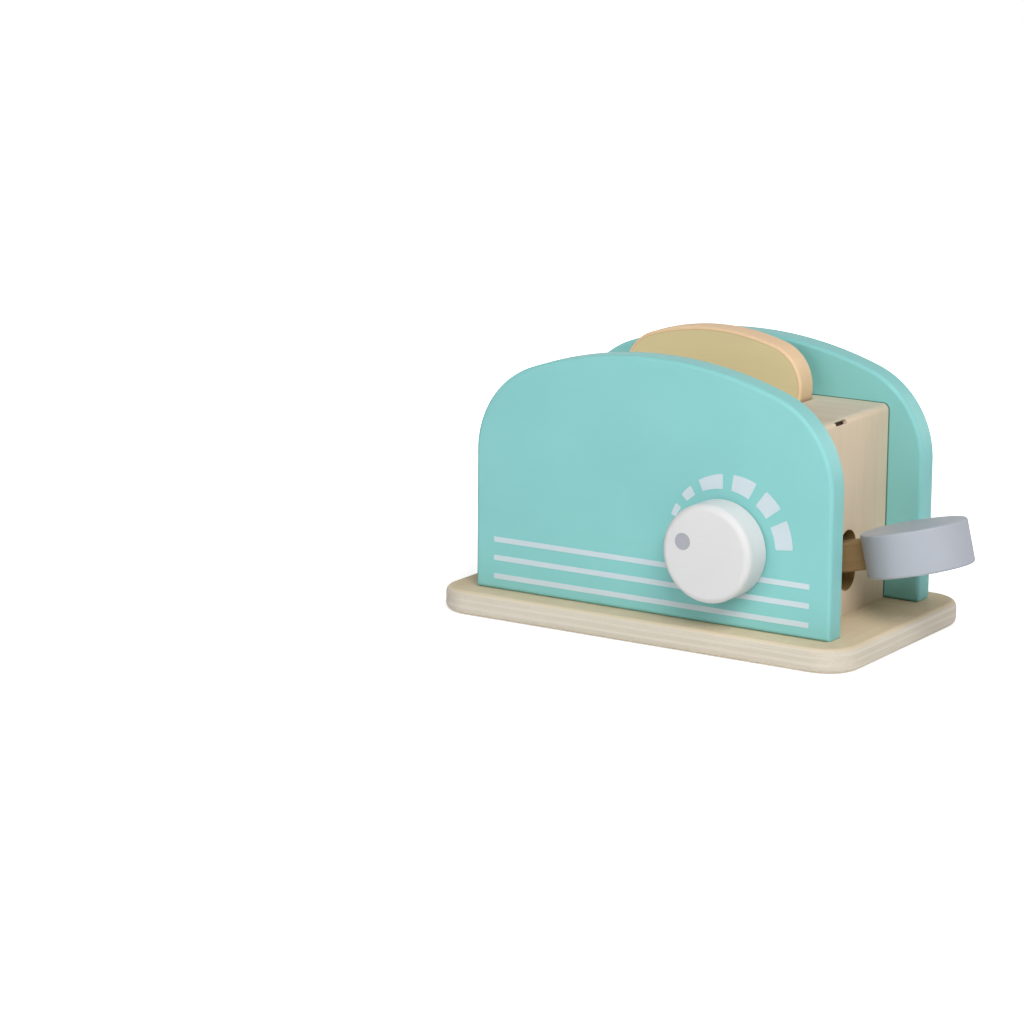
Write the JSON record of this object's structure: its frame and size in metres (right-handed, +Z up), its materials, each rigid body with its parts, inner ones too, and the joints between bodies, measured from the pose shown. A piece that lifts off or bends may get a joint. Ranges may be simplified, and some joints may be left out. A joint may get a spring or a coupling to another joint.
{
  "type": "toy toaster",
  "caption": "Wooden toy pop-up toaster: pressing the side paddle rocks a lever that lifts the bread; slotted case, arched painted sides, turning knob.",
  "frame": {"origin": "centre of the flat underside of the base board", "axes": "+Z up; +X towards the lever side, along the long side; -Y towards the knob side"},
  "size_m": [0.2403, 0.1263, 0.1302],
  "materials": {
    "plywood": "clear satin lacquer over birch plywood, plies showing on the edge",
    "turquoise_paint": "satin turquoise paint on wood",
    "case_wood": "clear matt lacquer on pale wood",
    "inner_wood": "bare pale wood",
    "arm_wood": "bare pale wood",
    "dowel_wood": "bare turned dowel",
    "white_paint": "satin white paint on turned wood",
    "grey_paint": "satin pale grey paint on wood",
    "bread_paint": "thin buff stain on the faces, tan stain round the crust",
    "white_print": "screen-printed white ink",
    "grey_print": "flat grey ink",
    "steel": "plain zinc-plated steel"
  },
  "bodies": {
    "case": {"base_board": "plywood", "front_panel": "turquoise_paint", "back_panel": "turquoise_paint", "top_board": "case_wood", "lever_end_board": "case_wood", "plain_end_board": "case_wood", "panel_dowels": "dowel_wood", "base_screws": "steel", "corner_staples": "steel", "pivot_blocks": "inner_wood", "lever_pivot_dowel": "dowel_wood", "guide_dowels": "dowel_wood", "front_stripes": "white_print", "dial_marks": "white_print"},
    "lever": {"lever_arm": "arm_wood", "lever_paddle": "grey_paint", "paddle_pin": "dowel_wood", "push_dowel": "dowel_wood"},
    "lift": {"lift_platform": "inner_wood", "lift_battens": "inner_wood"},
    "slice": {"bread_slice": "bread_paint"},
    "knob": {"knob": "white_paint", "knob_dot": "grey_print", "knob_axle": "dowel_wood", "knob_retainer": "dowel_wood"}
  },
  "joints": [
    {"name": "lever_press", "type": "hinge", "parent": "case", "child": "lever", "pos_m": [0.05, 0, 0.032], "axis": [0, 1, 0], "range_deg": [0, 14.5]},
    {"name": "lift_rise", "type": "slide", "parent": "case", "child": "lift", "axis": [0, 0, 1], "range_m": [0, 0.0152]},
    {"name": "slice_pull", "type": "slide", "parent": "lift", "child": "slice", "axis": [0, 0, 1], "range_m": [0, 0.1]},
    {"name": "knob_turn", "type": "hinge", "parent": "case", "child": "knob", "pos_m": [0.038, -0.0565, 0.046], "axis": [0, -1, 0], "continuous": true}
  ],
  "couplings": [
    {"joint": "lift_rise", "follows": "lever_press", "m_per_rad": 0.059859}
  ]
}
